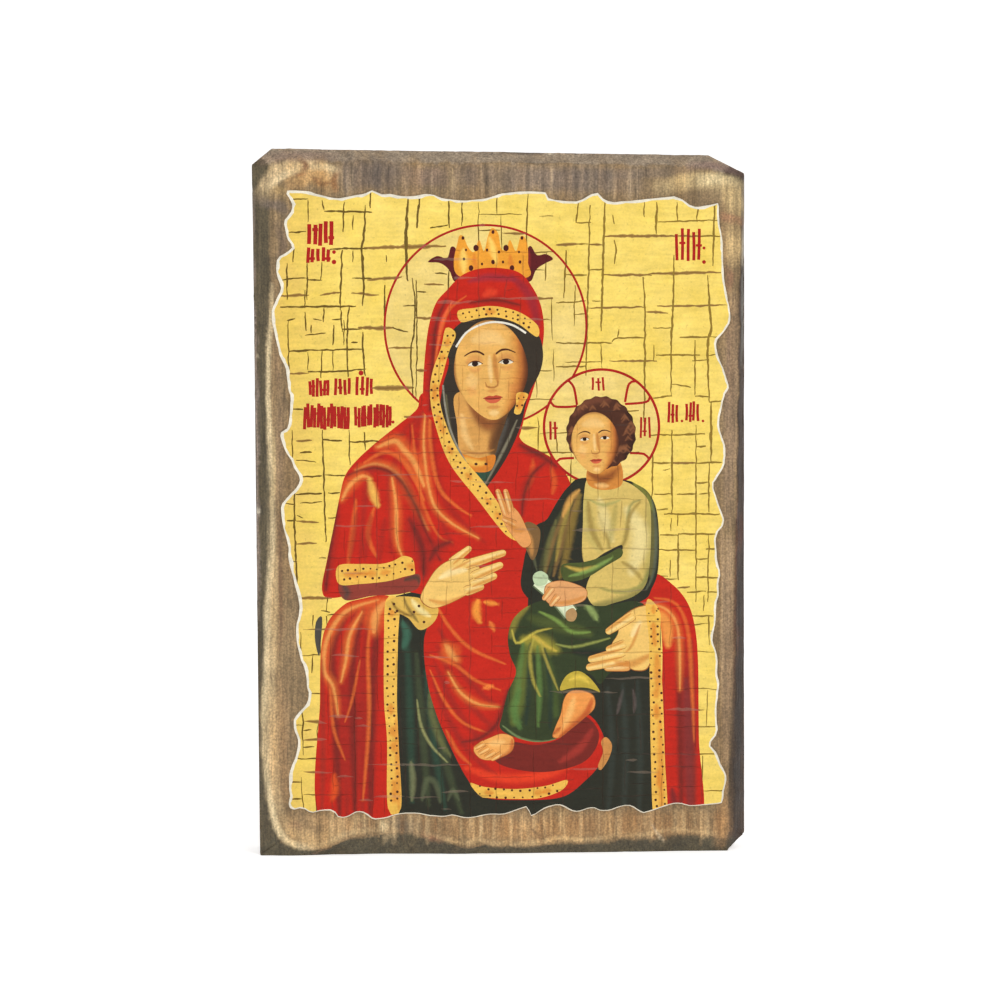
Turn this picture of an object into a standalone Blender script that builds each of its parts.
"""Icon panel: a thick hand-hewn wooden board with a torn, varnished print glued to its front.

The panel stands upright on its flat lower edge. X runs to the right as the picture is seen, the
picture faces -Y, and Z is up. The origin is at the middle of the foot. Sizes are in metres.
"""

import math

import bmesh
import bpy
from mathutils import Vector, noise

# The board
BOARD_WIDTH = 0.1645
BOARD_HEIGHT = 0.235
BOARD_THICKNESS = 0.024
# The board was cut by hand, so it is a little out of square
LEFT_LEAN = 0.0015  # the left side comes in by this much at the foot
RIGHT_LEAN = 0.0005  # the right side comes in by this much at the top
TOP_FALL = 0.0022  # the top edge drops by this much towards the right

# Corners knocked off the outline: along the top or bottom edge, then along the side
TOP_LEFT_CUT = (0.0065, 0.0055)
TOP_RIGHT_CUT = (0.0120, 0.0058)
BOTTOM_RIGHT_CUT = (0.0062, 0.0055)
CORNER_ROUNDING = 0.0009  # how far the outline's corners are eased
BACK_ARRIS = 0.0008  # the small chamfer round the back

# The hewn bevel round the front: how wide it looks from the front, then how deep it cuts
LEFT_BEVEL_AT_TOP = (0.0058, 0.0034)
LEFT_BEVEL_AT_FOOT = (0.0065, 0.0034)
TOP_BEVEL = (0.0038, 0.0040)
RIGHT_BEVEL_AT_TOP = (0.0013, 0.0050)
RIGHT_BEVEL_AT_FOOT = (0.0044, 0.0060)
FOOT_BEVEL = (0.0046, 0.0025)
RIDGE_ROUNDING = 0.0040  # how far the ridge between bevel and face is rounded at the corners
GOUGE_LENGTH = 0.0170  # one stroke of the gouge along an edge
GOUGE_BITE = 0.0006  # how far the middle of a stroke reaches past its ends
EDGE_WAVE = 0.0002  # how far the sides wander, inwards only
WAVE_LENGTH = 0.020  # how quickly they wander
OUTLINE_STEP = 0.0026  # spacing of the points along the outline
CORNER_STEPS = 3  # points in each half of a rounded corner

# The bevel at the foot and at the left was cut unevenly: how far along the edge, as a share of it,
# and how many ridge units wide the bevel is there. The foot runs to the right, the left side down.
RIDGE_UNIT = 0.001
FOOT_RIDGE = (
    (0.055, 4.5), (0.071, 2.8), (0.093, 2.1), (0.118, 2.1), (0.139, 2.7), (0.160, 4.4),
    (0.182, 6.0), (0.213, 6.6), (0.245, 7.2), (0.277, 7.7), (0.298, 7.6), (0.319, 7.1),
    (0.351, 5.7), (0.372, 4.7), (0.394, 4.0), (0.415, 2.3), (0.443, 1.9), (0.464, 3.5),
    (0.489, 2.2), (0.511, 3.0), (0.553, 2.1), (0.596, 2.7), (0.639, 3.9), (0.671, 3.2),
    (0.703, 3.5), (0.739, 3.4), (0.760, 5.1), (0.788, 4.4), (0.831, 5.0), (0.874, 6.3),
    (0.917, 5.9), (0.960, 5.3), (0.985, 4.4),
)
LEFT_RIDGE = (
    (0.060, 6.0), (0.117, 5.9), (0.189, 6.0), (0.224, 5.4), (0.260, 4.7), (0.332, 4.3),
    (0.404, 4.7), (0.476, 5.3), (0.537, 4.8), (0.592, 4.2), (0.638, 3.0), (0.686, 2.8),
    (0.736, 2.6), (0.790, 1.3), (0.845, 1.5), (0.899, 2.5), (0.925, 3.4), (0.939, 3.9),
    (0.954, 4.7), (0.969, 6.0),
)

# The print: bare wood left round it, then its own thickness and torn edge
WOOD_LEFT = 0.0065
WOOD_RIGHT = 0.0059
WOOD_TOP = 0.0144
WOOD_BOTTOM = 0.0123
PRINT_THICKNESS = 0.0005
TORN_LIP = 0.00015  # what is left of the thickness at the very edge
TORN_WIDTH = 0.0006  # the slope from the printed face down to the lip
GLUE_GAP = 0.0003  # between the board and the print
TEAR_STEP = 0.0015  # spacing of the points along the torn edge
TEAR_UNIT = 0.001  # what the depths of the tears below are counted in

# Tears along each side of the print: how far along the side, as a share of it, and how many tear
# units the paper is torn in there. The sides run up, right, down and left.
LEFT_TEARS = (
    (0.019, 5.3), (0.025, 4.9), (0.038, 5.3), (0.049, 5.0), (0.077, 5.3), (0.102, 7.3),
    (0.128, 8.0), (0.141, 7.0), (0.160, 6.7), (0.172, 8.4), (0.179, 10.1), (0.192, 11.4),
    (0.204, 11.6), (0.211, 11.1), (0.230, 10.8), (0.249, 9.8), (0.262, 8.7), (0.300, 7.5),
    (0.332, 8.6), (0.351, 8.4), (0.415, 5.3), (0.434, 5.2), (0.472, 3.4), (0.498, 2.8),
    (0.510, 4.1), (0.529, 7.8), (0.542, 9.1), (0.555, 8.1), (0.561, 7.1), (0.574, 6.1),
    (0.586, 4.5), (0.612, 2.6), (0.618, 2.9), (0.624, 4.9), (0.631, 5.4), (0.669, 6.1),
    (0.688, 5.3), (0.719, 4.6), (0.732, 3.3), (0.751, 2.0), (0.802, 0.0), (0.827, 1.5),
    (0.846, 3.1), (0.865, 1.8), (0.877, 1.5), (0.890, 1.9), (0.896, 2.8), (0.909, 6.8),
    (0.922, 5.5), (0.947, 4.2), (0.953, 4.4), (0.966, 6.5), (0.978, 6.9), (0.988, 5.9),
)
TOP_TEARS = (
    (0.035, 0.1), (0.084, 0.4), (0.097, 1.2), (0.136, 2.5), (0.153, 2.5), (0.205, 0.9),
    (0.218, 0.0), (0.240, 1.2), (0.257, 1.2), (0.283, 1.8), (0.309, 1.8), (0.335, 1.2),
    (0.353, 1.5), (0.370, 2.5), (0.413, 3.3), (0.466, 2.5), (0.500, 1.0), (0.550, 0.3),
    (0.595, 0.6), (0.602, 2.4), (0.615, 2.9), (0.662, 3.6), (0.675, 2.9), (0.697, 1.1),
    (0.709, 0.7), (0.721, 2.6), (0.731, 3.4), (0.745, 3.7), (0.863, 2.0), (0.878, 2.0),
    (0.894, 2.9), (0.922, 5.2), (0.972, 4.1),
)
RIGHT_TEARS = (
    (0.024, 4.0), (0.053, 3.7), (0.080, 2.7), (0.135, 2.2), (0.186, 0.4), (0.205, 0.0),
    (0.218, 1.2), (0.237, 4.4), (0.250, 4.7), (0.269, 3.7), (0.282, 2.5), (0.314, 0.5),
    (0.323, 1.8), (0.365, 3.7), (0.381, 3.5), (0.403, 2.0), (0.416, 1.7), (0.435, 2.0),
    (0.448, 3.2), (0.461, 5.0), (0.473, 5.7), (0.525, 2.1), (0.534, 2.5), (0.544, 4.1),
    (0.553, 4.8), (0.589, 4.4), (0.605, 3.5), (0.614, 3.4), (0.627, 4.0), (0.646, 3.8),
    (0.656, 4.6), (0.685, 4.9), (0.717, 5.9), (0.743, 4.4), (0.775, 4.3), (0.788, 3.7),
    (0.833, 4.6), (0.862, 4.1), (0.871, 4.7), (0.881, 6.4), (0.887, 6.6), (0.897, 4.7),
    (0.916, 3.2), (0.929, 1.7), (0.942, 1.2), (0.962, 2.2), (0.971, 2.2),
)
BOTTOM_TEARS = (
    (0.018, 4.3), (0.080, 3.4), (0.115, 4.3), (0.133, 3.8), (0.181, 1.5), (0.197, 1.5),
    (0.221, 3.6), (0.243, 3.3), (0.269, 2.0), (0.287, 2.2), (0.300, 2.9), (0.315, 2.7),
    (0.331, 1.9), (0.348, 2.1), (0.375, 4.0), (0.392, 3.8), (0.408, 3.0), (0.438, 0.6),
    (0.449, 3.4), (0.496, 1.1), (0.528, 1.2), (0.568, 0.1), (0.594, 0.3), (0.612, 1.0),
    (0.627, 0.6), (0.660, 0.9), (0.682, 1.6), (0.704, 1.8), (0.725, 1.5), (0.769, 0.0),
    (0.787, 0.2), (0.806, 2.1), (0.822, 2.3), (0.835, 1.1), (0.850, 0.5), (0.861, 0.8),
    (0.867, 2.2), (0.878, 3.0), (0.900, 2.9), (0.915, 2.2), (0.924, 2.6), (0.933, 3.6),
    (0.944, 3.8), (0.957, 3.3),
)
FIBRE_RAG = 0.00018  # the fine raggedness of the torn fibres, either way

# What is worked out from the sizes above
DEPTH = BOARD_THICKNESS + GLUE_GAP + PRINT_THICKNESS
BACK_Y = DEPTH / 2
FACE_Y = BACK_Y - BOARD_THICKNESS


def clear_scene():
    for old in list(bpy.data.objects):
        bpy.data.objects.remove(old)


def material(name, colour, roughness):
    made = bpy.data.materials.new(name)
    made.use_nodes = True
    shader = made.node_tree.nodes["Principled BSDF"]
    shader.inputs["Base Color"].default_value = (*colour, 1)
    shader.inputs["Roughness"].default_value = roughness
    shader.inputs["Metallic"].default_value = 0
    return made


def inward(start, end):
    """The unit vector that points into a loop drawn anticlockwise, square to one of its edges."""
    along = (end - start).normalized()
    return Vector((-along.y, along.x))


def offset_corners(corners, widths):
    """Moves each edge of a polygon inwards by its own two widths and returns the new corners."""
    count = len(corners)
    lines = []
    for i, (at_start, at_end) in enumerate(widths):
        start, end = corners[i], corners[(i + 1) % count]
        side = inward(start, end)
        lines.append((start + side * at_start, end + side * at_end))
    moved = []
    for i in range(count):
        (a, b), (c, d) = lines[i - 1], lines[i]
        first, second = b - a, d - c
        share = (c - a).cross(second) / first.cross(second)
        moved.append(a + first * share)
    return moved


def eased_corner(before, corner, after, reach, share):
    """A point on the curve that rounds a corner, with share running from 0 to 1 across it."""
    start = corner + (before - corner).normalized() * min(reach, 0.35 * (before - corner).length)
    end = corner + (after - corner).normalized() * min(reach, 0.35 * (after - corner).length)
    return start * (1 - share) ** 2 + corner * (2 * share * (1 - share)) + end * share**2


def rounded_loop(corners, reach, steps):
    """Points round a polygon with eased corners. Each edge gets steps[i] + 2 * CORNER_STEPS points,
    so that loops of different size match point for point."""
    count = len(corners)
    loop = []
    for i in range(count):
        before, start, end, after = (corners[(i + k) % count] for k in (-1, 0, 1, 2))
        for k in range(CORNER_STEPS):
            loop.append(eased_corner(before, start, end, reach, 0.5 + 0.5 * k / CORNER_STEPS))
        leave = eased_corner(before, start, end, reach, 1)
        arrive = eased_corner(start, end, after, reach, 0)
        for k in range(steps[i]):
            loop.append(leave.lerp(arrive, k / steps[i]))
        for k in range(CORNER_STEPS):
            loop.append(eased_corner(start, end, after, reach, 0.5 * k / CORNER_STEPS))
    return loop


def solid_from_rings(name, rings, surface):
    """One closed solid through rings of (x, y, z) points, from the back ring to the front ring."""
    mesh = bmesh.new()
    rows = [[mesh.verts.new(point) for point in ring] for ring in rings]
    for back, front in zip(rows, rows[1:]):
        for i in range(len(back)):
            j = (i + 1) % len(back)
            mesh.faces.new((back[i], back[j], front[j], front[i]))
    mesh.faces.new(list(reversed(rows[0])))
    mesh.faces.new(rows[-1])
    bmesh.ops.recalc_face_normals(mesh, faces=mesh.faces)
    data = bpy.data.meshes.new(name)
    mesh.to_mesh(data)
    mesh.free()
    made = bpy.data.objects.new(name, data)
    made.data.materials.append(surface)
    bpy.context.scene.collection.objects.link(made)
    return made


def at_depth(loop, y):
    return [(point.x, y, point.y) for point in loop]


def wave(point, seed):
    """A gentle random value from -1 to 1 that changes along the board's sides."""
    return noise.noise(Vector((point.x / WAVE_LENGTH, point.y / WAVE_LENGTH, seed)))


def read_table(table, share):
    """The value at a share of an edge, on straight lines between a table's pairs."""
    if share <= table[0][0]:
        return table[0][1]
    for (a, at_a), (b, at_b) in zip(table, table[1:]):
        if share <= b:
            return at_a + (at_b - at_a) * (share - a) / (b - a)
    return table[-1][1]


def board():
    half = BOARD_WIDTH / 2
    top_right = Vector((half - RIGHT_LEAN, BOARD_HEIGHT - TOP_FALL))
    fall = TOP_FALL / BOARD_WIDTH
    corners = [
        Vector((-half + LEFT_LEAN, 0)),
        Vector((half - BOTTOM_RIGHT_CUT[0], 0)),
        Vector((half, BOTTOM_RIGHT_CUT[1])),
        top_right - Vector((0, TOP_RIGHT_CUT[1])),
        top_right + Vector((-1, fall)) * TOP_RIGHT_CUT[0],
        Vector((-half, BOARD_HEIGHT)) + Vector((1, -fall)) * TOP_LEFT_CUT[0],
        Vector((-half, BOARD_HEIGHT - TOP_LEFT_CUT[1])),
    ]
    # One bevel for each edge, from its start to its end, anticlockwise from the foot
    bevels = [
        (FOOT_BEVEL, FOOT_BEVEL),
        (FOOT_BEVEL, RIGHT_BEVEL_AT_FOOT),
        (RIGHT_BEVEL_AT_FOOT, RIGHT_BEVEL_AT_TOP),
        (TOP_BEVEL, TOP_BEVEL),
        (TOP_BEVEL, TOP_BEVEL),
        (TOP_BEVEL, TOP_BEVEL),
        (LEFT_BEVEL_AT_TOP, LEFT_BEVEL_AT_FOOT),
    ]
    count = len(corners)
    lengths = [(corners[(i + 1) % count] - corners[i]).length for i in range(count)]
    steps = [max(2, round(length / OUTLINE_STEP)) for length in lengths]
    arris = offset_corners(corners, [(BACK_ARRIS, BACK_ARRIS)] * count)
    ridge = offset_corners(corners, [(start[0], end[0]) for start, end in bevels])
    outer = rounded_loop(corners, CORNER_ROUNDING, steps)
    back = rounded_loop(arris, CORNER_ROUNDING, steps)
    front = rounded_loop(ridge, RIDGE_ROUNDING, steps)

    shoulder = []
    uneven = {0: FOOT_RIDGE, count - 1: LEFT_RIDGE}
    place = 0
    for i, (start, end) in enumerate(bevels):
        side = inward(corners[i], corners[(i + 1) % count])
        points = steps[i] + 2 * CORNER_STEPS
        strokes = max(1, round(lengths[i] / GOUGE_LENGTH))
        for k in range(points):
            share = k / points
            stroke, along = divmod(share * strokes, 1)
            middle = 1 - (2 * along - 1) ** 2  # 0 where two strokes meet, 1 half way
            strength = 0.75 + 0.25 * math.sin(7.3 * stroke + 2 * i)
            fade = min(1, 6 * min(share, 1 - share))
            front[place] += side * GOUGE_BITE * (middle - 0.5) * strength * fade
            depth = start[1] + (end[1] - start[1]) * share
            depth += GOUGE_BITE * 0.5 * (middle - 0.5) * strength * fade
            if i in uneven:
                even = start[0] + (end[0] - start[0]) * share
                change = read_table(uneven[i], share) * RIDGE_UNIT - even
                change *= min(1, 25 * min(share, 1 - share))
                front[place] += side * change
                depth *= 0.4 + 0.6 * (even + change) / even
            shoulder.append(depth)
            if i != 0:
                shift = side * EDGE_WAVE * (0.5 + 0.5 * wave(outer[place], i)) * fade
                outer[place] += shift
                back[place] += shift
            place += 1

    rings = [
        at_depth(back, BACK_Y),
        at_depth(outer, BACK_Y - BACK_ARRIS),
        [(p.x, FACE_Y + d, p.y) for p, d in zip(outer, shoulder)],
        at_depth(front, FACE_Y),
    ]
    return solid_from_rings("board", rings, material("stained_pine", (0.19, 0.12, 0.07), 0.6))


def smooth_closed(points, step):
    """A smooth closed curve through the points, sampled about every step."""
    count = len(points)
    curve = []
    for i in range(count):
        p, q, r, s = (points[(i + k) % count] for k in (-1, 0, 1, 2))
        pieces = max(1, round((r - q).length / step))
        for k in range(pieces):
            t = k / pieces
            bend = (2 * p - 5 * q + 4 * r - s) * t**2 + (3 * q - p - 3 * r + s) * t**3
            curve.append(0.5 * (2 * q + (r - p) * t + bend))
    return curve


def inset_curve(curve, width):
    """Each point moved into the curve, square to the run of its neighbours."""
    count = len(curve)
    moved = []
    for i in range(count):
        side = inward(curve[i - 2], curve[(i + 2) % count])
        moved.append(curve[i] + side * width)
    return moved


def print_outline():
    """The torn edge, anticlockwise from the lower left, as points on the front of the board."""
    left, right = -BOARD_WIDTH / 2 + WOOD_LEFT, BOARD_WIDTH / 2 - WOOD_RIGHT
    low, high = WOOD_BOTTOM, BOARD_HEIGHT - WOOD_TOP
    wide, tall = right - left, high - low
    up = [Vector((left + d * TEAR_UNIT, low + t * tall)) for t, d in LEFT_TEARS]
    across = [Vector((left + t * wide, high - d * TEAR_UNIT)) for t, d in TOP_TEARS]
    down = [Vector((right - d * TEAR_UNIT, high - t * tall)) for t, d in RIGHT_TEARS]
    back = [Vector((right - t * wide, low + d * TEAR_UNIT)) for t, d in BOTTOM_TEARS]
    clockwise = smooth_closed(up + across + down + back, TEAR_STEP)
    ragged = []
    for point in clockwise:
        place = Vector((point.x, point.y, 0)) / (1.7 * TEAR_STEP)
        rag = noise.noise_vector(place) * FIBRE_RAG
        ragged.append(point + Vector((rag.x, rag.y)))
    return list(reversed(ragged))


def icon_print():
    outline = print_outline()
    glued = FACE_Y - GLUE_GAP
    rings = [
        at_depth(outline, glued),
        at_depth(outline, glued - TORN_LIP),
        at_depth(inset_curve(outline, TORN_WIDTH), glued - PRINT_THICKNESS),
    ]
    return solid_from_rings("icon_print", rings, material("varnished_print", (0.80, 0.62, 0.16), 0.35))


clear_scene()
board()
icon_print()
